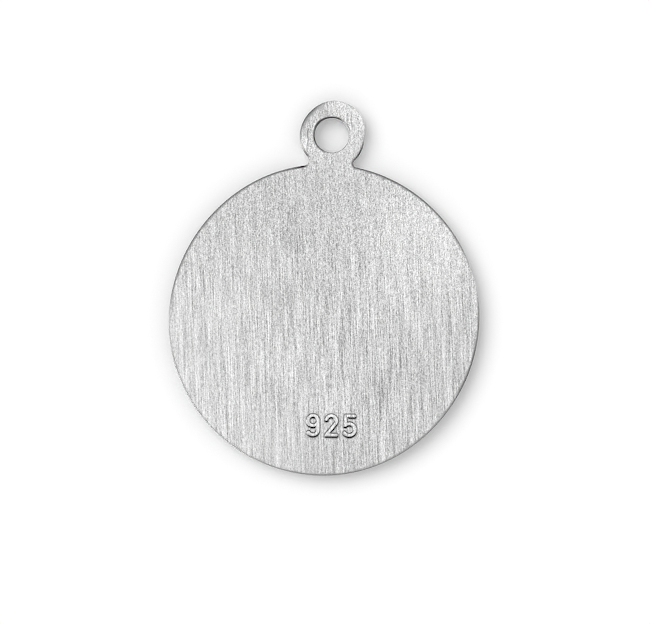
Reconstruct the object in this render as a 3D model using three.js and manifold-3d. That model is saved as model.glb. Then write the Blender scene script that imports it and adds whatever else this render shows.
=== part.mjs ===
// A round religious medal in sterling silver, struck in one piece with the loop that it hangs by.
// It lies face down, as it would on a table: the rim of its front rests on z = 0, its flat brushed back is up,
// and the loop points to +Y. The origin is under the middle of the outline. Lengths are millimetres.
//
// The back carries only a small raised fineness number. The front has a raised rim, a fine ring line and a
// plain bevelled Latin cross in low relief.

import * as THREE from "three";
import { mergeVertices } from "three/addons/utils/BufferGeometryUtils.js";
import Module from "manifold-3d";

// The disc
const DISC_RADIUS = 11.5;
const THICKNESS = 1.4; // at the rim, front to back
const EDGE_ROUND = 0.1; // where the rim turns into the front and into the back

// The loop and its neck
const LOOP_RADIUS = 2.5;
const LOOP_SIDE = 0.67; // the loop stands a little to one side of the disc's middle
const LOOP_SINK = 0.29; // how far its circle reaches into the disc's
const LOOP_STEP = 0.3; // how far its front lies behind the rim; its back is flush with the disc's
const LOOP_ROUND = 0.22; // its outer edges are rounder than the disc's
const NECK_FILLET_RIGHT = 0.3;
const NECK_FILLET_LEFT = 0.4;

// The hole, which misses the loop's own centre by a little
const HOLE_RADIUS = 1.27;
const HOLE_SIDE = -0.09;
const HOLE_UP = -0.08;
const HOLE_EDGE = 0.1; // how far its edges are eased

// The fineness number on the back
const NUMBER_HEIGHT = 1.7;
const NUMBER_PITCH = 1.35; // from one figure's middle to the next
const NUMBER_STROKE = 0.27;
const NUMBER_RELIEF = 0.14;
const NUMBER_EASE = 0.04; // how far the edges of its figures are eased
const NUMBER_SIDE = 0.54; // from the disc's middle
const NUMBER_INSET = 3.72; // from the disc's edge to the figures' middle
const NUMBER_TURN = -0.9; // degrees

// The front
const RIM_WIDTH = 0.95;
const RIM_SLOPE = 0.12; // how far the rim's inner wall leans
const FIELD_DEPTH = 0.32; // from the rim down to the field
const LINE_GAP = 0.7; // between the rim's foot and the ring line's middle
const LINE_WIDTH = 0.3;
const LINE_BELOW_RIM = 0.18;
const CROSS_GAP = 2.9; // between the ring line and the ends of the upright
const CROSS_WIDTH = 9;
const CROSS_ARM = 2.2;
const CROSS_BAR_UP = 2.2; // from the disc's middle to the crossbar's
const CROSS_FLAT = 0.3; // width of the flat that runs along each arm's ridge
const CROSS_BELOW_RIM = 0.08;

// How finely curves are cut
const OUTLINE_STEPS = 192;
const LOOP_STEPS = 60;
const FILLET_STEPS = 6;
const FIELD_STEPS = 128;
const HOLE_STEPS = 48;
const ROUND_STEPS = 3;
const STROKE_STEPS = 6;

const SINK = 0.15; // how far an added piece of relief starts below its surface
const PAST = 1; // how far a cutter runs past what it cuts

// Where the two outlines were trimmed by hand: middle and half width in degrees, anticlockwise from +X, and
// depth as a share of the outline's radius.
const DISC_TRIMS = [
  { middle: -37, halfWidth: 55, depth: 0.0122 },
  { middle: 145, halfWidth: 52, depth: 0.0108 },
];
const LOOP_TRIMS = [
  { middle: 139, halfWidth: 67, depth: 0.047 },
  { middle: -6, halfWidth: 47, depth: 0.055 },
];

// The sloping sides that brushing left on the loop's back: side is -1 for left, start is where the slope
// begins, as a share of the loop's radius from its middle, and slope is in degrees.
const LOOP_SLOPES = [
  { side: -1, start: 0.76, slope: 14 },
  { side: 1, start: 0.53, slope: 6 },
];

// The strokes of the three figures, in shares of the figure's height from its bottom middle, with angles in
// degrees. A bar runs from (x, y) to (endX, endY). An arc has its middle at (x, y).
const FIGURES = [
  [
    { kind: "arc", x: 0, y: 0.7, radius: 0.22, from: 0, to: 359 },
    { kind: "bar", x: 0.22, y: 0.7, endX: 0.22, endY: 0.3 },
    { kind: "arc", x: 0, y: 0.3, radius: 0.22, from: -150, to: 0 },
  ],
  [
    { kind: "arc", x: 0, y: 0.7, radius: 0.22, from: -35, to: 165 },
    { kind: "bar", x: 0.18, y: 0.574, endX: -0.21, endY: 0.08 },
    { kind: "bar", x: -0.21, y: 0.08, endX: 0.22, endY: 0.08 },
  ],
  [
    { kind: "bar", x: -0.17, y: 0.92, endX: 0.2, endY: 0.92 },
    { kind: "bar", x: -0.17, y: 0.92, endX: -0.187, endY: 0.507 },
    { kind: "arc", x: -0.01, y: 0.33, radius: 0.25, from: -145, to: 135 },
  ],
];

const wasm = await Module();
wasm.setup();

const radians = THREE.MathUtils.degToRad;

// A closed geometry as a solid that can be cut and joined.
function solidOf(geometry) {
  const bare = geometry.clone();
  bare.deleteAttribute("normal");
  bare.deleteAttribute("uv");
  const merged = mergeVertices(bare);
  const mesh = new wasm.Mesh({
    numProp: 3,
    vertProperties: new Float32Array(merged.attributes.position.array),
    triVerts: new Uint32Array(merged.index.array),
  });
  return new wasm.Manifold(mesh);
}

function geometryOf(solid) {
  const mesh = solid.getMesh();
  const geometry = new THREE.BufferGeometry();
  geometry.setAttribute("position", new THREE.BufferAttribute(mesh.vertProperties, 3));
  geometry.setIndex(new THREE.BufferAttribute(mesh.triVerts, 1));
  geometry.computeVertexNormals();
  return geometry;
}

// A shape made solid from z = low up to z = high, with its edges rounded inside its own outline.
function slab(shape, low, high, round, steps) {
  const geometry = new THREE.ExtrudeGeometry(shape, {
    depth: high - low - 2 * round,
    bevelThickness: round,
    bevelSize: round,
    bevelOffset: -round,
    bevelSegments: steps,
    curveSegments: STROKE_STEPS,
  });
  return solidOf(geometry.translate(0, 0, low + round));
}

// A solid turned about the Z axis from [radius, z] pairs that go anticlockwise round its section.
function turned(section, steps) {
  const points = section.map(([radius, z]) => new THREE.Vector2(radius, z));
  return solidOf(new THREE.LatheGeometry(points, steps).rotateX(Math.PI / 2));
}

// How much of a round outline's radius its trims leave at an angle.
function trimmed(trims, angle) {
  return trims.reduce((left, { middle, halfWidth, depth }) => {
    const turn = THREE.MathUtils.euclideanModulo(angle - radians(middle) + Math.PI, 2 * Math.PI) - Math.PI;
    const share = Math.min(Math.abs(turn) / radians(halfWidth), 1);
    return left - depth * Math.cos((share * Math.PI) / 2) ** 2;
  }, 1);
}

// A point on a round outline.
function outlinePoint(centre, radius, trims, angle) {
  const reach = radius * trimmed(trims, angle);
  return new THREE.Vector2(Math.cos(angle), Math.sin(angle)).multiplyScalar(reach).add(centre);
}

const discCentre = new THREE.Vector2(0, 0);

function disc() {
  const points = [];
  for (let i = 0; i < OUTLINE_STEPS; i++) {
    points.push(outlinePoint(discCentre, DISC_RADIUS, DISC_TRIMS, (2 * Math.PI * i) / OUTLINE_STEPS));
  }
  return slab(new THREE.Shape(points), 0, THICKNESS, EDGE_ROUND, ROUND_STEPS);
}

const loopCentre = new THREE.Vector2(LOOP_SIDE, DISC_RADIUS + LOOP_RADIUS - LOOP_SINK);

// The centre of a fillet that touches the disc and the loop from outside. side is 1 for the right.
function filletCentre(side, fillet) {
  const apart = loopCentre.length();
  const fromDisc = DISC_RADIUS + fillet;
  const fromLoop = LOOP_RADIUS + fillet;
  const along = (fromDisc ** 2 - fromLoop ** 2 + apart ** 2) / (2 * apart);
  const across = side * Math.sqrt(fromDisc ** 2 - along ** 2);
  const up = loopCentre.clone().normalize();
  return new THREE.Vector2(up.x * along + up.y * across, up.y * along - up.x * across);
}

const rightFillet = filletCentre(1, NECK_FILLET_RIGHT);
const leftFillet = filletCentre(-1, NECK_FILLET_LEFT);

// Points along an arc, from the side of its centre that faces first to the side that faces last.
function arcPoints(centre, radius, trims, first, last, anticlockwise, steps) {
  const from = first.clone().sub(centre).angle();
  const to = last.clone().sub(centre).angle();
  const sign = anticlockwise ? 1 : -1;
  const sweep = sign * THREE.MathUtils.euclideanModulo(sign * (to - from), 2 * Math.PI);
  const points = [];
  for (let i = 0; i <= steps; i++) {
    points.push(outlinePoint(centre, radius, trims, from + (sweep * i) / steps));
  }
  return points;
}

// The loop, its neck and the neck's root, which runs in under the rim.
function loopShape() {
  const root = DISC_RADIUS - RIM_WIDTH;
  return new THREE.Shape([
    new THREE.Vector2(leftFillet.x, root),
    new THREE.Vector2(rightFillet.x, root),
    ...arcPoints(rightFillet, NECK_FILLET_RIGHT, [], discCentre, loopCentre, false, FILLET_STEPS),
    ...arcPoints(loopCentre, LOOP_RADIUS, LOOP_TRIMS, rightFillet, leftFillet, true, LOOP_STEPS).slice(1, -1),
    ...arcPoints(leftFillet, NECK_FILLET_LEFT, [], loopCentre, discCentre, false, FILLET_STEPS),
  ]);
}

// What brushing took off one side of the loop's back, above the neck.
function loopSlope({ side, start, slope }) {
  const low = Math.min(rightFillet.y, leftFillet.y);
  const length = loopCentre.y + LOOP_RADIUS + PAST - low;
  const width = LOOP_RADIUS + PAST;
  const cutter = new THREE.BoxGeometry(width, length, PAST)
    .translate((side * width) / 2, length / 2, PAST / 2)
    .rotateY(side * radians(slope))
    .translate(loopCentre.x + side * start * LOOP_RADIUS, low, THICKNESS);
  return solidOf(cutter);
}

function loop() {
  const blank = slab(loopShape(), LOOP_STEP, THICKNESS, LOOP_ROUND, ROUND_STEPS);
  return LOOP_SLOPES.reduce((solid, side) => solid.subtract(loopSlope(side)), blank);
}

function hole() {
  const mouth = HOLE_RADIUS + HOLE_EDGE + PAST;
  const cutter = turned(
    [
      [0, LOOP_STEP - PAST],
      [mouth, LOOP_STEP - PAST],
      [HOLE_RADIUS, LOOP_STEP + HOLE_EDGE],
      [HOLE_RADIUS, THICKNESS - HOLE_EDGE],
      [mouth, THICKNESS + PAST],
      [0, THICKNESS + PAST],
    ],
    HOLE_STEPS,
  );
  return cutter.translate([loopCentre.x + HOLE_SIDE, loopCentre.y + HOLE_UP, 0]);
}

const rimInside = DISC_RADIUS - RIM_WIDTH;
const lineRadius = rimInside - RIM_SLOPE - LINE_GAP;

function field() {
  return turned(
    [
      [0, -PAST],
      [rimInside, -PAST],
      [rimInside, 0],
      [rimInside - RIM_SLOPE, FIELD_DEPTH],
      [0, FIELD_DEPTH],
    ],
    FIELD_STEPS,
  );
}

function ringLine() {
  const foot = FIELD_DEPTH + SINK;
  return turned(
    [
      [lineRadius - LINE_WIDTH / 4, LINE_BELOW_RIM],
      [lineRadius + LINE_WIDTH / 4, LINE_BELOW_RIM],
      [lineRadius + LINE_WIDTH / 2, FIELD_DEPTH],
      [lineRadius + LINE_WIDTH / 2, foot],
      [lineRadius - LINE_WIDTH / 2, foot],
      [lineRadius - LINE_WIDTH / 2, FIELD_DEPTH],
      [lineRadius - LINE_WIDTH / 4, LINE_BELOW_RIM],
    ],
    FIELD_STEPS,
  );
}

function cross() {
  const half = CROSS_ARM / 2;
  const tip = lineRadius - CROSS_GAP;
  const corners = [
    [-half, -tip],
    [half, -tip],
    [half, CROSS_BAR_UP - half],
    [CROSS_WIDTH / 2, CROSS_BAR_UP - half],
    [CROSS_WIDTH / 2, CROSS_BAR_UP + half],
    [half, CROSS_BAR_UP + half],
    [half, tip],
    [-half, tip],
    [-half, CROSS_BAR_UP + half],
    [-CROSS_WIDTH / 2, CROSS_BAR_UP + half],
    [-CROSS_WIDTH / 2, CROSS_BAR_UP - half],
    [-half, CROSS_BAR_UP - half],
  ];
  const bevel = (CROSS_ARM - CROSS_FLAT) / 2;
  const geometry = new THREE.ExtrudeGeometry(new THREE.Shape(corners.map(([x, y]) => new THREE.Vector2(x, y))), {
    depth: 2 * SINK,
    bevelThickness: FIELD_DEPTH - CROSS_BELOW_RIM,
    bevelSize: bevel,
    bevelOffset: -bevel,
    bevelSegments: 1,
  });
  return solidOf(geometry.translate(0, 0, FIELD_DEPTH));
}

// One stroke of a figure, with round ends.
function strokeShape(stroke) {
  const half = NUMBER_STROKE / 2;
  const x = stroke.x * NUMBER_HEIGHT;
  const y = (stroke.y - 0.5) * NUMBER_HEIGHT;
  const shape = new THREE.Shape();
  if (stroke.kind === "bar") {
    const along = Math.atan2(stroke.endY - stroke.y, stroke.endX - stroke.x);
    const end = new THREE.Vector2(stroke.endX, stroke.endY - 0.5).multiplyScalar(NUMBER_HEIGHT);
    shape.absarc(x, y, half, along + Math.PI / 2, along + (3 * Math.PI) / 2);
    shape.absarc(end.x, end.y, half, along - Math.PI / 2, along + Math.PI / 2);
  } else {
    const [from, to] = [radians(stroke.from), radians(stroke.to)];
    const radius = stroke.radius * NUMBER_HEIGHT;
    shape.absarc(x, y, radius + half, from, to);
    shape.absarc(x + radius * Math.cos(to), y + radius * Math.sin(to), half, to, to + Math.PI);
    shape.absarc(x, y, radius - half, to, from, true);
    shape.absarc(x + radius * Math.cos(from), y + radius * Math.sin(from), half, from + Math.PI, from + 2 * Math.PI);
  }
  return shape;
}

function figure(strokes) {
  const solids = strokes.map((stroke) =>
    slab(strokeShape(stroke), THICKNESS - SINK, THICKNESS + NUMBER_RELIEF, NUMBER_EASE, 1),
  );
  return solids.reduce((whole, solid) => whole.add(solid));
}

function fineness() {
  const middle = (FIGURES.length - 1) / 2;
  const figures = FIGURES.map((strokes, i) => figure(strokes).translate([(i - middle) * NUMBER_PITCH, 0, 0]));
  return figures
    .reduce((row, solid) => row.add(solid))
    .rotate([0, 0, NUMBER_TURN])
    .translate([NUMBER_SIDE, NUMBER_INSET - DISC_RADIUS, 0]);
}

const silver = new THREE.MeshStandardMaterial({ color: 0xd5d5d6, roughness: 0.4, metalness: 1 });

function medal() {
  const solid = disc().add(loop()).subtract(hole()).subtract(field()).add(ringLine()).add(cross()).add(fineness());
  const mesh = new THREE.Mesh(geometryOf(solid), silver);
  mesh.name = "medal";
  return mesh;
}

// The outline's lowest point is the disc's, and its highest the loop's.
const outlineMiddle = (loopCentre.y + LOOP_RADIUS - DISC_RADIUS) / 2;

const pendant = new THREE.Group();
pendant.add(medal());
pendant.position.y = -outlineMiddle;

export default pendant;
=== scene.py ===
# A round religious medal of sterling silver, struck in one piece with the loop that it hangs by, lying
# face down on a pale floor. The camera looks straight down at its brushed back.
#
# The medal is modelled here as one fine mesh on the CAD solid's own sizes. A face is a height over a
# plan: the plan is the outline of the disc, neck and loop with the hole left out, and the heights give
# the eased edges, the small number on the back and the rim, ring line and cross on the front.

import math

import bpy
import numpy as np
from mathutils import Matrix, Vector
from mathutils.geometry import delaunay_2d_cdt


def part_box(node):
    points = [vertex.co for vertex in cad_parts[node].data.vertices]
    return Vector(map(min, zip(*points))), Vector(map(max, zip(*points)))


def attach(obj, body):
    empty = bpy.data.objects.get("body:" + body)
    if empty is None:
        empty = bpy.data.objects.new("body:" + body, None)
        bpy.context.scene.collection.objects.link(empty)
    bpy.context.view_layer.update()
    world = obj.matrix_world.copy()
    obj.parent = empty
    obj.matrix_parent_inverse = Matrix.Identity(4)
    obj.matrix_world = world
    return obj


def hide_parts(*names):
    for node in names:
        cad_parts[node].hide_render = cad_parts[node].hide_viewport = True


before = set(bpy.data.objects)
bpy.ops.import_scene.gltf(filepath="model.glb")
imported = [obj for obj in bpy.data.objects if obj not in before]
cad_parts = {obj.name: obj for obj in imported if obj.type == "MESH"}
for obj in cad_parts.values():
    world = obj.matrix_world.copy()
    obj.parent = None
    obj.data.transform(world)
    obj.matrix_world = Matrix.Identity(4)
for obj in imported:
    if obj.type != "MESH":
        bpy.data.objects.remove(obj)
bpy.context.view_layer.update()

MM = 0.001

# The medal's sizes, in millimetres, and the number's turn in degrees
DISC_RADIUS = 11.5
THICKNESS = 1.4
EDGE_ROUND = 0.1
LOOP_RADIUS = 2.5
LOOP_SIDE = 0.67
LOOP_SINK = 0.29
LOOP_STEP = 0.3
NECK_FILLET_RIGHT = 0.3
NECK_FILLET_LEFT = 0.4
HOLE_RADIUS = 1.27
HOLE_SIDE = -0.09
HOLE_UP = -0.08
NUMBER_HEIGHT = 1.7
NUMBER_PITCH = 1.35
NUMBER_STROKE = 0.27
NUMBER_RELIEF = 0.14
NUMBER_EASE = 0.05
NUMBER_SIDE = 0.54
NUMBER_INSET = 3.72
NUMBER_TURN = -0.9
RIM_WIDTH = 0.95
RIM_SLOPE = 0.12
FIELD_DEPTH = 0.32
LINE_GAP = 0.7
LINE_WIDTH = 0.3
LINE_BELOW_RIM = 0.18
CROSS_GAP = 2.9
CROSS_WIDTH = 9
CROSS_ARM = 2.2
CROSS_BAR_UP = 2.2
CROSS_FLAT = 0.3
CROSS_BELOW_RIM = 0.08

# Where the outlines were trimmed by hand: middle and half width in degrees, and depth as a share of the
# radius
DISC_TRIMS = [(-37, 55, 0.0122), (145, 52, 0.0108)]
LOOP_TRIMS = [(139, 67, 0.047), (-6, 47, 0.055)]

# The loop's sloping sides: side, start as a share of the loop's radius, and slope in degrees. They fade
# in so many radii below the loop's middle.
LOOP_SLOPES = [(-1, 0.76, 14), (1, 0.53, 6)]
SLOPE_BELOW = 0.8
SLOPE_EASE = 0.04
SLOPE_FADE = 0.6

# Where the edges are rounded further than elsewhere. A spot has its middle, measured from the disc's
# middle, its radius and what it adds.
ROUND_SPOTS = [
    ((-1.1, 15.4), 0.8, 0.2),
    ((2.8, 12.4), 0.5, 0.12),
    ((-0.35, 14.5), 0.5, 0.07),
    ((-2.3, 11.3), 1.0, 0.15),
]

# The strokes of the three figures, in shares of their height from their bottom middle.
# A bar runs from one point to another. An arc has its middle, its radius and two angles in degrees.
BAR = "bar"
ARC = "arc"
FIGURES = [
    [
        (ARC, (0, 0.7), 0.22, 0, 360),
        (BAR, (0.22, 0.7), (0.22, 0.3)),
        (ARC, (0, 0.3), 0.22, -150, 0),
    ],
    [
        (ARC, (0, 0.7), 0.22, -35, 165),
        (BAR, (0.18, 0.574), (-0.21, 0.08)),
        (BAR, (-0.21, 0.08), (0.22, 0.08)),
    ],
    [
        (BAR, (-0.17, 0.92), (0.2, 0.92)),
        (BAR, (-0.17, 0.92), (-0.187, 0.507)),
        (ARC, (-0.01, 0.33), 0.25, -145, 135),
    ],
]

# How finely the mesh is laid out, in millimetres between points. The number's margin is in shares of
# its height, and the ring line's circles in shares of its width.
OUTLINE_STEP = 0.085
FACE_STEP = 0.17
NUMBER_STEP = 0.032
LOOP_MESH_STEP = 0.07
CREASE_STEP = 0.03
CREASE_MARGIN = 0.13
CROSS_STEP = 0.08
CIRCLE_STEP = 0.11
CIRCLE_CLEAR = CIRCLE_STEP / 3
OUTLINE_CLEAR = OUTLINE_STEP * 0.7
MERGE_WITHIN = 1e-7
ARC_STEPS_LEAST = 4
NUMBER_MARGIN = (0.4, 0.66)
RIM_CIRCLE_GAP = 0.06
LINE_CIRCLES = (-0.65, -0.5, -0.25, 0.25, 0.5, 0.65)
ROUND_STEPS = 8
WALL_STEPS = 4
JITTER = 0.18
SEED = 7

# How far the rounding of the edges varies, in how many waves, the range of their starts in radians, and
# how many swings a wave makes at most
ROUND_WANDER = 0.16
ROUND_WAVES = 7
ROUND_STARTS = 6.28
ROUND_SWINGS = 60

# The faces' materials, by their index
BACK = 0
EDGE = 1
FRONT = 2

# The brushing left the back very slightly wavy: lengths across and along the strokes, and height
WAVE_ACROSS = (0.7, 2.2)
WAVE_ALONG = (9, 30)
WAVE_HEIGHT = 0.0022
WAVES = 14

# The brushing: it leans a little, and is short and grainy at the top and long below. Each layer has so
# many cells to the millimetre across and along the strokes, and a weight at the top and in the lower
# part.
BRUSH_LEAN = -2
NOISE = "noise"
STROKES = "strokes"
BRUSH_LAYERS = [
    (NOISE, 14.6, 13.1, 0.62, 0.42),
    (NOISE, 14.2, 3.1, 0.46, 0.38),
    (STROKES, 14.7, 0.4, 0.26, 0.56),
    (NOISE, 5.1, 0.14, 0.06, 0.17),
    (NOISE, 4.1, 0.9, 0.17, 0.08),
    (NOISE, 2.3, 0.2, 0.09, 0.17),
]

# How far each layer is shifted from the one before, how the strokes' noise is spread out, and the
# noise's own roughness and usual range
LAYER_SHIFT = (17.3, 11.9, 0)
STROKE_START = 40.0
STROKE_APART = 7.3
NOISE_ROUGHNESS = 0.6
NOISE_RANGE = (0.3, 0.7)

# The strokes grow long from one height to another, further down on the left, in millimetres from the
# disc's middle
STREAK_FROM = 6.0
STREAK_FULL = -1.5
STREAK_TILT = 0.22

# The back's tones and roughness, from the brushing's low places to its high ones, and its depth in
# millimetres
BRUSH_RANGE = (0.2, 0.8)
BACK_TONES = (0.34, 0.975)
BACK_ROUGHNESS = (0.5, 0.36)
BACK_BUMP = 0.01

# The walls, with fine upright marks of trimming: cells to the millimetre around and upright, tones,
# roughness, depth. The tones are dark as painted shade, which also keeps the light bounced onto the floor
# beside them low.
TRIM_MARKS = (9, 9)
TRIM_UPRIGHT = 0.5
EDGE_TONES = (0.19, 0.32)
EDGE_ROUGHNESS = (0.55, 0.42)
EDGE_BUMP = 0.007

# How strongly the brushing shows: all over, in soft spots, and less where the back is painted darker with
# shade and tarnish
CONTRAST = "contrast"
CONTRAST_BASE = 0.97
CONTRAST_SPOTS = [
    ((-10.5, -3.0), 3.5, -0.26),
    ((0.5, 0.5), 3.5, 0.16),
    ((3.5, -5.5), 3.0, 0.16),
    ((7.5, 6.0), 2.5, -0.16),
    ((-3.5, -9.0), 2.3, -0.24),
    ((0.8, 12.3), 2.3, -0.17),
]
SHADED_BRIGHTNESS = (0.6, 0.9)
SHADED_CONTRAST = (0.35, 1)

# The walls' painted shade is lifted in the hole and round the neck, so that more light bounces onto the floor
# there: the neck's middle, its reach, the fade and the gain
WALL_LIGHT = "wall_light"
NECK_MIDDLE = (0.85, 11.5)
NECK_WALL_LIGHT = 2.4
WALL_LIGHT_FADE = 0.8
WALL_LIGHT_GAIN = 0.52

# Patches of painted light and shade on the back and the loop: the spot's middle and radius from the disc's
# middle, and gain
PAINTED_LIGHT_AND_TARNISH = "brightness"
LIGHT_AND_SHADE_SPOTS = [
    ((-9.5, -4.0), 4.5, 0.1),
    ((7.2, 6.2), 2.8, 0.17),
    ((8.5, -4.5), 3.5, -0.05),
    ((-9.3, 3.6), 1.8, 0.06),
    ((-5.0, -8.0), 1.8, 0.05),
    ((0.3, -10.2), 1.8, -0.07),
    ((3.4, -3.4), 1.5, -0.08),
    ((-1.1, 1.1), 1.3, -0.05),
    ((-3.0, 9.0), 5.0, -0.06),
    ((0.1, 15.25), 0.35, -0.17),
    ((-1.58, 13.0), 0.33, 0.3),
    ((0.8, 15.9), 0.45, 0.14),
    ((1.6, 15.6), 0.5, 0.16),
    ((2.3, 15.0), 0.5, 0.18),
    ((2.6, 14.2), 0.5, 0.12),
    ((2.3, 13.0), 0.8, 0.12),
    ((-0.8, 12.8), 0.6, 0.13),
    ((0.8, 11.6), 1.0, 0.07),
    ((-0.7, 14.2), 0.5, 0.07),
]

# Fine lines in the loop's back, painted as shade and highlight along its creases: their half width, how much
# brighter or darker, and their points from the top down
CREASES = [
    (0.045, -0.6, (-1.16, 14.1), (-1.24, 13.65), (-1.14, 13.32), (-1.26, 12.83), (-1.24, 12.42)),
    (0.04, -0.5, (2.02, 15.17), (2.0, 14.72), (2.09, 14.19)),
    (0.04, -0.3, (1.75, 15.21), (1.69, 14.8), (1.83, 14.14)),
    (0.05, 0.35, (1.91, 15.0), (1.87, 14.55), (1.97, 14.1)),
]

# Where the loop is painted darker towards its edge, as shade on its rounding: middle and half width in
# degrees, reach in millimetres, and depth
LOOP_SHADES = [(138, 52, 0.6, 0.8), (-33, 32, 0.42, 0.5)]

# The outermost line of the back is painted dark as shade, less in places: its width and soft edge in
# millimetres, the shine left in it, and the spots that change its shine and its width
EDGE_LINE = 0.11
EDGE_LINE_SOFT = 0.055
EDGE_SHADE_TONE = 0.48
EDGE_SHADE_SPOTS = [
    ((10.8, -3.9), 1.6, -0.15),
    ((5.0, -10.4), 2.5, 0.06),
    ((-8.8, -7.4), 1.8, -0.07),
    ((-11.5, 0.1), 1.2, 0.35),
    ((-8.8, 7.4), 3.0, 0.02),
    ((5.7, 10.0), 3.0, -0.08),
    ((-1.1, 15.4), 0.9, 0.7),
    ((11.2, 3.0), 1.2, 0.6),
    ((-1.15, 11.65), 0.22, 0.8),
    ((-1.55, 11.42), 0.3, -0.3),
    ((0.8, 16.2), 0.6, 0.45),
    ((1.7, 16.0), 0.6, 0.5),
    ((2.5, 15.3), 0.6, 0.5),
    ((3.1, 14.3), 0.8, 0.6),
    ((2.8, 12.5), 0.6, -0.12),
    ((0.58, 12.3), 0.35, 0.5),
    ((-0.25, 12.7), 0.3, -0.1),
    ((-1.7, 13.0), 0.6, 0.12),
    ((-1.25, 12.2), 0.35, -0.35),
    ((-0.3, 14.5), 0.5, -0.5),
    ((0.6, 14.9), 0.4, -0.3),
    ((1.15, 14.78), 0.22, -0.3),
    ((-0.7, 13.4), 0.35, -0.25),
    ((1.7, 14.2), 0.35, -0.2),
    ((1.7, 13.2), 0.55, 0.7),
    ((0.9, 12.4), 0.4, 0.6),
]
LINE_SPOTS = [
    ((-2.0, 11.35), 0.8, 0.06),
    ((-0.35, 14.5), 0.45, 0.06),
    ((6.5, 9.5), 3.0, 0.02),
    ((-8.8, 7.4), 3.0, 0.03),
    ((-8.5, -7.5), 4.5, -0.02),
]

# Tarnish stays round the foot of the small number, painted shadow adds to it below the strokes, and their
# tops get a painted highlight
FOOT_TARNISH_AND_SHADE = (0.35, 0.9)
FOOT_REACH = (0.05, 0.09)
FOOT_PEAK = 1 / 3
FOOT_PROBE = 0.02
TOP_FROM = 0.4
TOP_HIGHLIGHT = 0.18

# The front's satin field, and its raised rim, line and cross: cells to the millimetre, tones,
# roughness, and the bump's depth in millimetres, of which the raised parts keep a small share. The
# field's finish starts and is full so far short of the field's depth.
SATIN_GRAIN = 16
SATIN_TONES = (0.6, 0.85)
SATIN_ROUGHNESS = 0.5
SATIN_BUMP = 0.02
RAISED_GRAIN = 2.5
RAISED_TONES = (0.82, 0.92)
RAISED_ROUGHNESS = (0.16, 0.28)
RAISED_RELIEF = 0.1
FIELD_FADE = (0.05, 0.01)

# The floor, in metres
FLOOR_HALF = 3
FLOOR_TONE = 0.9
FLOOR_ROUGHNESS = 0.9

# The light: a sky that is darker near the horizon, a wide soft lamp from the upper left that lights the
# floor alone, and two that only show in the metal, a low card at the lower left and a sheet overhead.
# Angles are in degrees and lengths in metres.
SKY_TOP = 0.86
SKY_SIDE = 0.61
SKY_FADE = (0.1, 0.5)
KEY_ZENITH = 36
KEY_AZIMUTH = 142
KEY_SPREAD = 46
KEY_STRENGTH = 1.28
KEY_AWAY = 1
CARD_AZIMUTH = 215
CARD_HEIGHT = 14
CARD_AWAY = 0.5
CARD_SIZE = (0.5, 0.16)
CARD_POWER = 1.6
SHEET_AWAY = 0.9
SHEET_SIZE = 1.2
SHEET_POWER = 0.65

# The camera and the photograph's frame: lens and sensor in millimetres, clipping in metres
IMAGE_WIDTH = 650
PIXELS_PER_MM = 13.55
IMAGE_MIDDLE = (324.5, 311.5)
DISC_MIDDLE_PIXEL = (323.5, 319.4)
LENS = 180
SENSOR = 36
CLIP = (0.005, 10)
SHARPENING = 0.2

low_corner = np.array(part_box("medal")[0]) / MM
disc_middle = np.array([0, low_corner[1] + DISC_RADIUS])
loop_middle = np.array([LOOP_SIDE, DISC_RADIUS + LOOP_RADIUS - LOOP_SINK])
hole_middle = loop_middle + (HOLE_SIDE, HOLE_UP)
number_middle = np.array([NUMBER_SIDE, NUMBER_INSET - DISC_RADIUS])
rim_inside = DISC_RADIUS - RIM_WIDTH
line_radius = rim_inside - RIM_SLOPE - LINE_GAP
chance = np.random.default_rng(SEED)


def smooth(share):
    """0 below 0, 1 above 1, and an S curve between."""
    share = np.clip(share, 0, 1)
    return share * share * (3 - 2 * share)


def spotted(points, base, spots):
    """A value over the plan, with soft round spots added to it."""
    value = np.full(len(points), float(base))
    for middle, radius, gain in spots:
        value += gain * np.exp(-((points - middle) ** 2).sum(1) / (2 * radius**2))
    return value


def arch(angles, middle, half_width):
    """1 in the middle of a range of angles given in degrees, falling smoothly to 0 at its ends."""
    turn = (angles - math.radians(middle) + math.pi) % (2 * math.pi) - math.pi
    share = np.minimum(np.abs(turn) / math.radians(half_width), 1)
    return np.cos(share * math.pi / 2) ** 2


def on_circle(middle, radius, trims, angles):
    """Points on a round outline that was trimmed by hand."""
    reach = np.full(len(angles), float(radius))
    for trim_middle, half_width, depth in trims:
        reach -= radius * depth * arch(angles, trim_middle, half_width)
    return middle + np.stack([np.cos(angles), np.sin(angles)], 1) * reach[:, None]


def fillet_middle(side, fillet):
    """The centre of a fillet that touches the disc and the loop from outside. side is 1 for the right."""
    apart = np.linalg.norm(loop_middle)
    from_disc = DISC_RADIUS + fillet
    from_loop = LOOP_RADIUS + fillet
    along = (from_disc**2 - from_loop**2 + apart**2) / (2 * apart)
    across = side * math.sqrt(from_disc**2 - along**2)
    up = loop_middle / apart
    return up * along + np.array([up[1], -up[0]]) * across


def arc(middle, radius, trims, first, last, turning):
    """Points along an arc, from where it faces first until it faces last. turning is 1 anticlockwise."""
    start, end = (math.atan2(*(point - middle)[::-1]) for point in (first, last))
    sweep = turning * ((turning * (end - start)) % (2 * math.pi))
    steps = max(ARC_STEPS_LEAST, round(abs(sweep) * radius / OUTLINE_STEP))
    return on_circle(middle, radius, trims, start + sweep * np.arange(steps) / steps)


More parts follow.
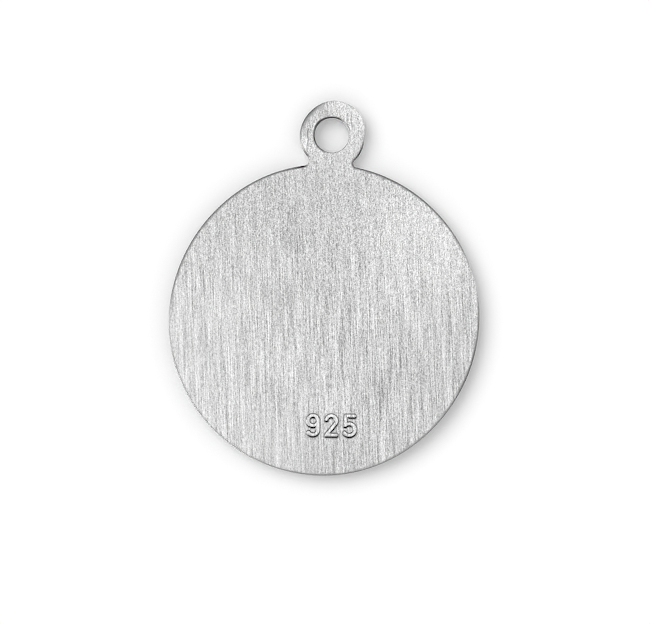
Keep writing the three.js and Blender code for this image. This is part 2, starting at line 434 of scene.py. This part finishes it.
def medal_outline():
    """The outline, anticlockwise."""
    disc = np.zeros(2)
    right = fillet_middle(1, NECK_FILLET_RIGHT)
    left = fillet_middle(-1, NECK_FILLET_LEFT)
    arcs = [
        arc(disc, DISC_RADIUS, DISC_TRIMS, left, right, 1),
        arc(right, NECK_FILLET_RIGHT, [], disc, loop_middle, -1),
        arc(loop_middle, LOOP_RADIUS, LOOP_TRIMS, right, left, 1),
        arc(left, NECK_FILLET_LEFT, [], loop_middle, disc, -1),
    ]
    return np.concatenate(arcs)


def hole_outline():
    """The hole clockwise, so that the metal is on the same hand as along the outside."""
    steps = round(2 * math.pi * HOLE_RADIUS / OUTLINE_STEP)
    angles = -2 * math.pi * np.arange(steps) / steps
    return on_circle(hole_middle, HOLE_RADIUS, [], angles)


def wander(count, swings):
    """A smooth random line from -1 to 1 that closes on itself after count points."""
    along = np.arange(count) * 2 * math.pi / count
    turns = chance.integers(1, swings, ROUND_WAVES)
    line = sum(np.sin(along * turn + chance.uniform(0, ROUND_STARTS)) for turn in turns)
    return line / np.abs(line).max()


def inside(points, outline):
    """Which points are inside a closed outline."""
    x, y = points.T
    crossings = np.zeros(len(points), int)
    for (ax, ay), (bx, by) in zip(outline, np.roll(outline, -1, 0)):
        spans = (ay > y) != (by > y)
        crossings[spans] += x[spans] < ax + (y[spans] - ay) * (bx - ax) / (by - ay)
    return crossings % 2 == 1


def distance(points, outline):
    """How far each point lies from the nearest point of an outline."""
    nearest = np.full(len(points), np.inf)
    for spot in outline:
        nearest = np.minimum(nearest, ((points - spot) ** 2).sum(1))
    return np.sqrt(nearest)


def number_gap(points):
    """How far each point lies outside the strokes of the small number, below zero inside them."""
    turn = math.radians(-NUMBER_TURN)
    spin = np.array([[math.cos(turn), -math.sin(turn)], [math.sin(turn), math.cos(turn)]])
    own = (points - number_middle) @ spin.T
    nearest = np.full(len(points), np.inf)
    for place, strokes in enumerate(FIGURES):
        shift = (place - (len(FIGURES) - 1) / 2) * NUMBER_PITCH
        x, y = ((own - (shift, 0)) / NUMBER_HEIGHT + (0, 0.5)).T
        for kind, start, *rest in strokes:
            if kind == BAR:
                run = np.subtract(rest[0], start)
                share = ((x - start[0]) * run[0] + (y - start[1]) * run[1]) / (run @ run)
                share = np.clip(share, 0, 1)
                gap = np.hypot(x - start[0] - share * run[0], y - start[1] - share * run[1])
            else:
                radius, first, last = rest
                half = math.radians(last - first) / 2
                angle = np.arctan2(y - start[1], x - start[0]) - math.radians(first) - half
                angle = np.clip((angle + math.pi) % (2 * math.pi) - math.pi, -half, half)
                angle += math.radians(first) + half
                gap = np.hypot(x - start[0] - radius * np.cos(angle), y - start[1] - radius * np.sin(angle))
            nearest = np.minimum(nearest, gap * NUMBER_HEIGHT)
    return nearest - NUMBER_STROKE / 2


wave_table = [
    (
        2 * math.pi / chance.uniform(*WAVE_ACROSS),
        2 * math.pi / chance.uniform(*WAVE_ALONG),
        chance.uniform(0, 2 * math.pi),
    )
    for _ in range(WAVES)
]


def back_height(points):
    """How high the back is at each point of the plan."""
    x, y = points.T
    height = np.full(len(points), float(THICKNESS))
    for across, along, start in wave_table:
        height += WAVE_HEIGHT * np.sin(x * across + y * along + start) / math.sqrt(WAVES / 2)
    neck = loop_middle[1] - LOOP_RADIUS * SLOPE_BELOW
    fade = smooth((y - neck) / SLOPE_FADE)
    for side, start, slope in LOOP_SLOPES:
        past = side * (x - loop_middle[0]) - start * LOOP_RADIUS
        past = (past + np.sqrt(past**2 + SLOPE_EASE**2)) / 2
        height -= fade * past * math.tan(math.radians(slope))
    return height + NUMBER_RELIEF * smooth(0.5 - number_gap(points) / NUMBER_EASE)


def front_height(points):
    """How high the front is above the floor at each point of the plan."""
    x, y = points.T
    out = np.hypot(x, y)
    height = FIELD_DEPTH * np.clip((rim_inside - out) / RIM_SLOPE, 0, 1)
    off_line = np.abs(out - line_radius)
    height -= (FIELD_DEPTH - LINE_BELOW_RIM) * np.clip((LINE_WIDTH / 2 - off_line) / (LINE_WIDTH / 4), 0, 1)
    arm = CROSS_ARM / 2
    upright = np.minimum(arm - np.abs(x), line_radius - CROSS_GAP - np.abs(y))
    bar = np.minimum(CROSS_WIDTH / 2 - np.abs(x), arm - np.abs(y - CROSS_BAR_UP))
    rise = np.maximum(upright, bar) / ((CROSS_ARM - CROSS_FLAT) / 2)
    height -= (FIELD_DEPTH - CROSS_BELOW_RIM) * np.clip(rise, 0, 1)
    return height + LOOP_STEP * smooth((out - DISC_RADIUS) / EDGE_ROUND)


def grid(step, corner, opposite):
    """Points in staggered rows over a rectangle, each moved a little at random."""
    row_step = step * math.sqrt(3) / 2
    rows = int((opposite[1] - corner[1]) / row_step) + 1
    columns = int((opposite[0] - corner[0]) / step) + 1
    column, row = np.meshgrid(np.arange(columns), np.arange(rows))
    x = corner[0] + step * (column + 0.5 * (row % 2))
    y = corner[1] + row_step * row
    points = np.stack([x.ravel(), y.ravel()], 1)
    return points + chance.uniform(-JITTER, JITTER, points.shape) * step


def face_points(outlines, fine):
    """Points that fill a face. fine gives boxes with their own step, then circles that hold a crisp line."""
    boxes, circles = fine
    everywhere = grid(FACE_STEP, (-DISC_RADIUS,) * 2, (DISC_RADIUS, loop_middle[1] + LOOP_RADIUS))
    layers = [everywhere]
    for step, corner, opposite in boxes:
        middle = (np.array(corner) + opposite) / 2
        half = (np.array(opposite) - corner) / 2
        layers = [layer[(np.abs(layer - middle) > half).any(1)] for layer in layers]
        layers.append(grid(step, corner, opposite))
    points = np.concatenate(layers)
    out = np.hypot(*points.T)
    for radius in circles:
        points = points[np.abs(out - radius) > CIRCLE_CLEAR]
        out = np.hypot(*points.T)
    rings = []
    for radius in circles:
        steps = round(2 * math.pi * radius / CIRCLE_STEP)
        angles = 2 * math.pi * np.arange(steps) / steps
        rings.append(on_circle(np.zeros(2), radius, [], angles))
    points = np.concatenate([points, *rings])
    outside, hole = outlines
    points = points[inside(points, outside) & ~inside(points, hole)]
    clear = np.minimum(distance(points, outside), distance(points, hole))
    return points[clear > OUTLINE_CLEAR]


def triangles(outlines, points):
    """The plan of a face, as all its points and triangles. The outlines' points come first."""
    count = 0
    edges = []
    for outline in outlines:
        size = len(outline)
        edges += [(count + i, count + (i + 1) % size) for i in range(size)]
        count += size
    plan = np.concatenate([*outlines, points])
    result = delaunay_2d_cdt([Vector(point) for point in plan], edges, [], 0, MERGE_WITHIN)
    source = np.array([ids[0] for ids in result[3]])
    faces = source[np.array(result[2])]
    middles = plan[faces].mean(1)
    return plan, faces[inside(middles, outlines[0]) & ~inside(middles, outlines[1])]


def inward(outline):
    """The direction into the metal at each point of an outline that has the metal on its left."""
    run = np.roll(outline, -1, 0) - np.roll(outline, 1, 0)
    run /= np.linalg.norm(run, axis=1)[:, None]
    return np.stack([-run[:, 1], run[:, 0]], 1)


def edge_band(outline, first):
    """The eased edges and the wall between the faces: rows of points from the back down to the front."""
    into = inward(outline)
    varied = 1 + ROUND_WANDER * wander(len(outline), ROUND_SWINGS)
    rounds = spotted(outline, EDGE_ROUND, ROUND_SPOTS) * varied
    lip = outline + into * rounds[:, None]
    top = back_height(lip)
    bottom = front_height(lip)
    rows = []
    gaps = []
    quarter = np.linspace(0, math.pi / 2, ROUND_STEPS + 1)
    for angle in quarter:
        gap = rounds * (1 - math.sin(angle))
        gaps.append(gap)
        rows.append(np.column_stack([outline + into * gap[:, None], top - rounds * (1 - math.cos(angle))]))
    for share in np.arange(1, WALL_STEPS) / WALL_STEPS:
        height = (top - rounds) * (1 - share) + (bottom + rounds) * share
        gaps.append(rounds * 0)
        rows.append(np.column_stack([outline, height]))
    for angle in quarter[::-1]:
        gap = rounds * (1 - math.sin(angle))
        gaps.append(gap)
        rows.append(np.column_stack([outline + into * gap[:, None], bottom + rounds * (1 - math.cos(angle))]))
    size = len(outline)
    here = np.arange(size)
    after = (here + 1) % size
    quads = []
    kinds = []
    for row in range(len(rows) - 1):
        above = first + row * size
        below = above + size
        quads.append(np.column_stack([above + here, below + here, below + after, above + after]))
        kinds += [BACK if row < ROUND_STEPS else EDGE] * size
    # painted shade: the outermost line of the back and of the hole is darkened
    shine = edge_painted_shade(outline, np.array(gaps))
    return np.concatenate(rows), np.concatenate(quads), kinds, shine, lip


def back_detail():
    """Where the back's mesh is finer: boxes round the number, the loop and its creases."""
    number_wide = NUMBER_PITCH * (len(FIGURES) - 1) / 2 + NUMBER_HEIGHT * NUMBER_MARGIN[0]
    number_half = np.array([number_wide, NUMBER_HEIGHT * NUMBER_MARGIN[1]])
    loop_half = np.full(2, LOOP_RADIUS + LOOP_MESH_STEP)
    boxes = [
        (NUMBER_STEP, number_middle - number_half, number_middle + number_half),
        (LOOP_MESH_STEP, loop_middle - loop_half, loop_middle + loop_half),
    ]
    for _, _, *line in CREASES:
        boxes.append((CREASE_STEP, np.min(line, 0) - CREASE_MARGIN, np.max(line, 0) + CREASE_MARGIN))
    return boxes, []


def front_detail():
    """Where the front's mesh is finer: a box round the cross, and circles along the rim and the ring line."""
    half = np.array([CROSS_WIDTH / 2, line_radius - CROSS_GAP]) + 2 * CROSS_STEP
    foot = rim_inside - RIM_SLOPE
    circles = [rim_inside + RIM_CIRCLE_GAP, rim_inside, foot, foot - RIM_CIRCLE_GAP]
    circles += [line_radius + LINE_WIDTH * share for share in LINE_CIRCLES]
    return [(CROSS_STEP, -half, half)], circles


def medal_mesh():
    """The whole medal as one closed mesh, with a material index for the back, the edges and the front."""
    vertices = []
    faces = []
    kinds = []
    shines = []
    lips = []
    starts = []
    count = 0
    for outline in (medal_outline(), hole_outline()):
        points, quads, quad_kinds, shine, lip = edge_band(outline, count)
        vertices.append(points)
        faces += quads.tolist()
        kinds += quad_kinds
        shines.append(shine)
        lips.append(lip)
        size = len(outline)
        starts.append((count + np.arange(size), count + len(points) - size + np.arange(size)))
        count += len(points)
    lip_count = sum(len(lip) for lip in lips)
    sides = ((BACK, back_height, back_detail()), (FRONT, front_height, front_detail()))
    for side, (kind, height_of, detail) in enumerate(sides):
        plan, found = triangles(lips, face_points(lips, detail))
        index = np.concatenate([starts[0][side], starts[1][side], count + np.arange(len(plan) - lip_count)])
        inner = plan[lip_count:]
        vertices.append(np.column_stack([inner, height_of(inner)]))
        shines.append(np.ones(len(inner)))
        count += len(inner)
        found = index[found]
        if kind == FRONT:
            found = found[:, ::-1]
        faces += found.tolist()
        kinds += [kind] * len(found)
    points = (np.concatenate(vertices) + (*disc_middle, 0)) * MM
    mesh = bpy.data.meshes.new("struck_medal")
    mesh.from_pydata(points.tolist(), [], faces)
    mesh.polygons.foreach_set("material_index", kinds)
    mesh.polygons.foreach_set("use_smooth", [True] * len(kinds))
    plan = np.concatenate(vertices)[:, :2]
    # painted light and shade, with the tarnish round the number, kept at the mesh's points
    brightness = painted_light_and_tarnish_at(plan) * np.concatenate(shines)
    for name, values in ((PAINTED_LIGHT_AND_TARNISH, brightness), (CONTRAST, contrast_at(plan, brightness)), (WALL_LIGHT, wall_light_at(plan))):
        mesh.attributes.new(name, "FLOAT", "POINT").data.foreach_set("value", values)
    mesh.update()
    return mesh


def node(tree, kind, inputs=None, **settings):
    """A new shader node. An input is given as a value or as another node's output."""
    made = tree.nodes.new(kind)
    for name, value in settings.items():
        setattr(made, name, value)
    for name, value in (inputs or {}).items():
        if isinstance(value, bpy.types.NodeSocket):
            tree.links.new(value, made.inputs[name])
        else:
            made.inputs[name].default_value = value
    return made


def new_material(name):
    """An empty node material: itself, its tree and its shader."""
    material = bpy.data.materials.new(name)
    material.use_nodes = True
    tree = material.node_tree
    tree.nodes.clear()
    shader = node(tree, "ShaderNodeBsdfPrincipled")
    output = node(tree, "ShaderNodeOutputMaterial")
    tree.links.new(shader.outputs["BSDF"], output.inputs["Surface"])
    return material, tree, shader


def math_node(tree, operation, *values):
    """The output of one sum on values or other nodes' outputs."""
    return node(tree, "ShaderNodeMath", dict(enumerate(values)), operation=operation).outputs[0]


def millimetres(tree, turn=0.0):
    """The place on the medal in millimetres, turned about Z by some degrees."""
    place = node(tree, "ShaderNodeTexCoord").outputs["Object"]
    mapping = node(tree, "ShaderNodeMapping", {"Vector": place, "Scale": (1 / MM,) * 3})
    mapping.inputs["Rotation"].default_value = (0, 0, math.radians(turn))
    return mapping.outputs["Vector"]


def strokes(tree, place, across, along):
    """Noise that runs along the brushing, in so many strokes to the millimetre, each on its own."""
    parts = node(tree, "ShaderNodeSeparateXYZ", {"Vector": place})
    stroke = math_node(tree, "FLOOR", math_node(tree, "MULTIPLY", parts.outputs["X"], across))
    start = node(tree, "ShaderNodeTexWhiteNoise", {"W": stroke}, noise_dimensions="1D").outputs["Value"]
    start = math_node(tree, "MULTIPLY", start, STROKE_START)
    run = math_node(tree, "MULTIPLY_ADD", parts.outputs["Y"], along, start)
    column = math_node(tree, "MULTIPLY", stroke, STROKE_APART)
    spot = node(tree, "ShaderNodeCombineXYZ", {"X": column, "Y": run})
    inputs = {"Vector": spot.outputs["Vector"], "Scale": 1.0, "Detail": 0.0}
    return node(tree, "ShaderNodeTexNoise", inputs).outputs["Fac"]


def noise(tree, place, across, along, detail=0.0, upright=None):
    """Noise with so many cells to the millimetre across and along the brushing, and upright."""
    scale = (across, along, across if upright is None else upright)
    moved = node(tree, "ShaderNodeMapping", {"Vector": place, "Scale": scale}).outputs["Vector"]
    inputs = {"Vector": moved, "Scale": 1.0, "Detail": detail, "Roughness": NOISE_ROUGHNESS}
    return node(tree, "ShaderNodeTexNoise", inputs).outputs["Fac"]


def spread(tree, value, low, high, out_low, out_high):
    """value taken from one range to another, and kept in it."""
    inputs = {"Value": value, "From Min": low, "From Max": high, "To Min": out_low, "To Max": out_high}
    return node(tree, "ShaderNodeMapRange", inputs, clamp=True).outputs["Result"]


def grey(tree, value):
    """One value as a grey colour."""
    channels = {"Red": value, "Green": value, "Blue": value}
    return node(tree, "ShaderNodeCombineColor", channels).outputs["Color"]


def bare_metal(tree, shader, tone, roughness, relief, depth):
    """Bare metal of a grey tone and a roughness, with a relief so many millimetres deep."""
    tree.links.new(grey(tree, tone), shader.inputs["Base Color"])
    tree.links.new(roughness, shader.inputs["Roughness"])
    bump = node(tree, "ShaderNodeBump", {"Height": relief, "Distance": depth * MM, "Strength": 1.0})
    tree.links.new(bump.outputs["Normal"], shader.inputs["Normal"])
    shader.inputs["Metallic"].default_value = 1.0


def read_attribute(tree, name):
    """A value that the mesh holds at its points."""
    return node(tree, "ShaderNodeAttribute", attribute_name=name).outputs["Fac"]


def edge_painted_shade(outline, gaps):
    """How much brightness the painted shade of the outermost line leaves so far from the outline, a row of
    points after another.
    """
    # painted shade along the outermost line, with its level and width varied by spots
    darkening = np.clip(spotted(outline, EDGE_SHADE_TONE, EDGE_SHADE_SPOTS), 0, 1)
    line = spotted(outline, EDGE_LINE, LINE_SPOTS)
    share = smooth((gaps - line) / EDGE_LINE_SOFT + 0.5)
    return (darkening + (1 - darkening) * share).ravel()


def crease_painted_light(points):
    """What the fine lines in the loop add to the brightness: painted shade and highlight along its creases.
    """
    x, y = points.T
    shine = np.zeros(len(points))
    for half, gain, *line in CREASES:
        run, rise = np.array(line[::-1]).T
        middle = np.interp(y, rise, run)
        past = y - np.clip(y, rise[0], rise[-1])
        # painted shade and highlight along the creases
        shine += gain * np.exp(-(((x - middle) ** 2 + past**2) / half**2))
    return shine


def loop_painted_shade(points):
    """How much brightness is left where the loop is painted darker towards its edge, as shade on its
    rounding.
    """
    arms = points - loop_middle
    angles = np.arctan2(arms[:, 1], arms[:, 0])
    gaps = LOOP_RADIUS - np.hypot(*arms.T)
    shine = np.ones(len(points))
    for middle, half_width, reach, depth in LOOP_SHADES:
        # painted shade on the loop's rounding
        shine *= 1 - depth * arch(angles, middle, half_width) * smooth(1 - np.abs(gaps) / reach)
    return shine


def number_tarnish_and_shade(points):
    """How much brightness is left round the foot of the small number, where tarnish lies and painted shadow
    falls below the strokes, and gained on its top as a painted highlight.
    """
    gap = number_gap(points)
    # painted shadow below the strokes, on top of the tarnish round their foot
    below = smooth((number_gap(points - (0, FOOT_PROBE)) - gap) / FOOT_PROBE)
    reach = FOOT_REACH[0] + (FOOT_REACH[1] - FOOT_REACH[0]) * below
    darkening = FOOT_TARNISH_AND_SHADE[0] + (FOOT_TARNISH_AND_SHADE[1] - FOOT_TARNISH_AND_SHADE[0]) * below
    foot = np.exp(-(((gap - reach * FOOT_PEAK) / reach) ** 2))
    # painted highlight on the strokes' tops
    top = smooth(-gap / FOOT_REACH[0] - TOP_FROM)
    return (1 - darkening * foot) * (1 + TOP_HIGHLIGHT * top)


def painted_light_and_tarnish_at(points):
    """How bright the back is painted at each point of the plan: painted light and shade, and tarnish round
    the number.
    """
    # painted light and shade over the back and the loop
    brightness = spotted(points, 1, LIGHT_AND_SHADE_SPOTS) + crease_painted_light(points)
    return brightness * loop_painted_shade(points) * number_tarnish_and_shade(points)


def contrast_at(points, brightness):
    """How strongly the brushing shows at each point of the plan, given its painted brightness."""
    return spotted(points, CONTRAST_BASE, CONTRAST_SPOTS) * np.interp(brightness, SHADED_BRIGHTNESS, SHADED_CONTRAST)


def wall_light_at(points):
    """How far the walls' painted shade is lifted at each point of the plan, from 0 to 1."""
    hole_gap = np.linalg.norm(points - hole_middle, axis=1) - HOLE_RADIUS
    neck_gap = np.linalg.norm(points - NECK_MIDDLE, axis=1) - NECK_WALL_LIGHT
    return 1 - smooth(np.minimum(hole_gap, neck_gap) / WALL_LIGHT_FADE)


def brush_lines(tree, place):
    """The brushing's height, around 0.5."""
    parts = node(tree, "ShaderNodeSeparateXYZ", {"Vector": place}).outputs
    tilted = math_node(tree, "MULTIPLY_ADD", parts["X"], STREAK_TILT, parts["Y"])
    lower = spread(tree, tilted, STREAK_FROM, STREAK_FULL, 0, 1)
    lines = 0.5
    for count, (kind, across, along, *weights) in enumerate(BRUSH_LAYERS):
        shift = tuple(step * count for step in LAYER_SHIFT)
        moved = node(tree, "ShaderNodeVectorMath", {0: place, 1: shift}, operation="ADD").outputs["Vector"]
        make = noise if kind == NOISE else strokes
        weight = spread(tree, lower, 0, 1, *weights)
        layer = math_node(tree, "SUBTRACT", make(tree, moved, across, along), 0.5)
        lines = math_node(tree, "MULTIPLY_ADD", layer, weight, lines)
    contrast = read_attribute(tree, CONTRAST)
    return math_node(tree, "MULTIPLY_ADD", math_node(tree, "SUBTRACT", lines, 0.5), contrast, 0.5)


def brushed_silver():
    """The back: brushed up and down by hand."""
    material, tree, shader = new_material("silver_brushed")
    lines = brush_lines(tree, millimetres(tree, BRUSH_LEAN))
    bright = spread(tree, lines, *BRUSH_RANGE, *BACK_TONES)
    # the painted light and shade, and the tarnish round the number, brighten or darken the brushed tone
    tone = math_node(tree, "MULTIPLY", bright, read_attribute(tree, PAINTED_LIGHT_AND_TARNISH))
    roughness = spread(tree, lines, *NOISE_RANGE, *BACK_ROUGHNESS)
    bare_metal(tree, shader, tone, roughness, lines, BACK_BUMP)
    return material


def shaded_wall_silver():
    """The walls, trimmed and not brushed, dark as painted shade, and painted brighter in the hole and round
    the neck.
    """
    material, tree, shader = new_material("silver_edge")
    marks = noise(tree, millimetres(tree), *TRIM_MARKS, detail=2, upright=TRIM_UPRIGHT)
    # painted shade: the walls' tone is kept dark
    wall_tone = spread(tree, marks, *NOISE_RANGE, *EDGE_TONES)
    # painted light: the walls are brighter in the hole and round the neck, to bounce more light onto the
    # floor
    tone = math_node(tree, "MULTIPLY_ADD", read_attribute(tree, WALL_LIGHT), WALL_LIGHT_GAIN, wall_tone)
    roughness = spread(tree, marks, *NOISE_RANGE, *EDGE_ROUGHNESS)
    bare_metal(tree, shader, tone, roughness, marks, EDGE_BUMP)
    return material


def struck_silver():
    """The front: a satin field, with the rim, the line and the cross a little brighter."""
    material, tree, shader = new_material("silver_struck")
    place = millimetres(tree)
    depth = node(tree, "ShaderNodeSeparateXYZ", {"Vector": place}).outputs["Z"]
    field = spread(tree, depth, *(FIELD_DEPTH - short for short in FIELD_FADE), 0, 1)
    satin = noise(tree, place, SATIN_GRAIN, SATIN_GRAIN, detail=2)
    brightness = noise(tree, place, RAISED_GRAIN, RAISED_GRAIN, detail=3)
    bright = spread(tree, brightness, *NOISE_RANGE, *RAISED_TONES)
    matt = spread(tree, satin, *NOISE_RANGE, *SATIN_TONES)
    tone = node(tree, "ShaderNodeMix", {"Factor": field, "A": bright, "B": matt}).outputs["Result"]
    glossy = spread(tree, brightness, *NOISE_RANGE, *RAISED_ROUGHNESS)
    roughness = {"Factor": field, "A": glossy, "B": SATIN_ROUGHNESS}
    roughness = node(tree, "ShaderNodeMix", roughness).outputs["Result"]
    share = math_node(tree, "MULTIPLY_ADD", field, 1 - RAISED_RELIEF, RAISED_RELIEF)
    bare_metal(tree, shader, tone, roughness, math_node(tree, "MULTIPLY", satin, share), SATIN_BUMP)
    return material


def make_medal():
    """The medal in its three finishes, in the place of the CAD solid."""
    mesh = medal_mesh()
    for material in (brushed_silver(), shaded_wall_silver(), struck_silver()):
        mesh.materials.append(material)
    medal = bpy.data.objects.new("struck_medal", mesh)
    bpy.context.scene.collection.objects.link(medal)
    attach(medal, "root")
    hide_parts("medal")


def make_floor():
    """A plain white floor."""
    mesh = bpy.data.meshes.new("floor")
    corners = [(-1, -1), (1, -1), (1, 1), (-1, 1)]
    mesh.from_pydata([(x * FLOOR_HALF, y * FLOOR_HALF, 0) for x, y in corners], [], [(0, 1, 2, 3)])
    material, tree, shader = new_material("floor_white")
    shader.inputs["Base Color"].default_value = (FLOOR_TONE, FLOOR_TONE, FLOOR_TONE, 1)
    shader.inputs["Roughness"].default_value = FLOOR_ROUGHNESS
    shader.inputs["Specular IOR Level"].default_value = 0.0
    mesh.materials.append(material)
    floor = bpy.data.objects.new("floor", mesh)
    bpy.context.scene.collection.objects.link(floor)


def towards(azimuth, elevation):
    """The direction of a light. Azimuth is anticlockwise from +X."""
    around = math.radians(azimuth)
    up = math.radians(elevation)
    return Vector((math.cos(around) * math.cos(up), math.sin(around) * math.cos(up), math.sin(up)))


def add_lamp(name, kind, energy, direction, away, **settings):
    """A lamp so many metres away in one direction, shining at the origin."""
    lamp = bpy.data.lights.new(name, kind)
    lamp.energy = energy
    for setting, value in settings.items():
        setattr(lamp, setting, value)
    made = bpy.data.objects.new(name, lamp)
    made.location = direction * away
    made.rotation_euler = direction.to_track_quat("Z", "Y").to_euler()
    bpy.context.scene.collection.objects.link(made)
    return made


def make_sky():
    """A white sky, darker near the horizon."""
    world = bpy.data.worlds.new("studio")
    world.use_nodes = True
    tree = world.node_tree
    direction = node(tree, "ShaderNodeTexCoord").outputs["Generated"]
    up = node(tree, "ShaderNodeSeparateXYZ", {"Vector": direction}).outputs["Z"]
    strength = spread(tree, up, *SKY_FADE, SKY_SIDE, SKY_TOP)
    tree.links.new(strength, tree.nodes["Background"].inputs["Strength"])
    tree.nodes["Background"].inputs["Color"].default_value = (1, 1, 1, 1)
    bpy.context.scene.world = world


def make_lamps():
    """The key lights the floor alone. The card and the sheet only show in the metal."""
    from_key = towards(KEY_AZIMUTH, 90 - KEY_ZENITH)
    key = add_lamp("key", "SUN", KEY_STRENGTH, from_key, KEY_AWAY, angle=math.radians(KEY_SPREAD))
    key.visible_glossy = False
    wide, tall = CARD_SIZE
    card_shape = {"shape": "RECTANGLE", "size": wide, "size_y": tall}
    card = add_lamp("card", "AREA", CARD_POWER, towards(CARD_AZIMUTH, CARD_HEIGHT), CARD_AWAY, **card_shape)
    card.visible_diffuse = False
    sheet = add_lamp("sheet", "AREA", SHEET_POWER, towards(0, 90), SHEET_AWAY, size=SHEET_SIZE)
    sheet.visible_diffuse = False


def make_camera():
    """Straight above the medal, framed as the photograph is."""
    data = bpy.data.cameras.new("camera")
    data.lens = LENS
    data.sensor_width = SENSOR
    data.clip_start, data.clip_end = CLIP
    camera = bpy.data.objects.new("camera", data)
    right = (IMAGE_MIDDLE[0] - DISC_MIDDLE_PIXEL[0]) / PIXELS_PER_MM
    up = (DISC_MIDDLE_PIXEL[1] - IMAGE_MIDDLE[1]) / PIXELS_PER_MM
    away = LENS / SENSOR * IMAGE_WIDTH / PIXELS_PER_MM + THICKNESS
    camera.location = Vector((disc_middle[0] + right, disc_middle[1] + up, away)) * MM
    bpy.context.scene.collection.objects.link(camera)
    bpy.context.scene.camera = camera


def sharpen():
    """The photograph's slight sharpening."""
    scene = bpy.context.scene
    scene.use_nodes = True
    tree = scene.node_tree
    tree.nodes.clear()
    layer = tree.nodes.new("CompositorNodeRLayers")
    crisp = tree.nodes.new("CompositorNodeFilter")
    crisp.filter_type = "SHARPEN_DIAMOND"
    crisp.inputs["Fac"].default_value = SHARPENING
    output = tree.nodes.new("CompositorNodeComposite")
    tree.links.new(layer.outputs["Image"], crisp.inputs["Image"])
    tree.links.new(crisp.outputs["Image"], output.inputs["Image"])


make_camera()
sharpen()
make_sky()
make_lamps()
make_floor()
make_medal()
bpy.context.scene.view_settings.view_transform = "Standard"
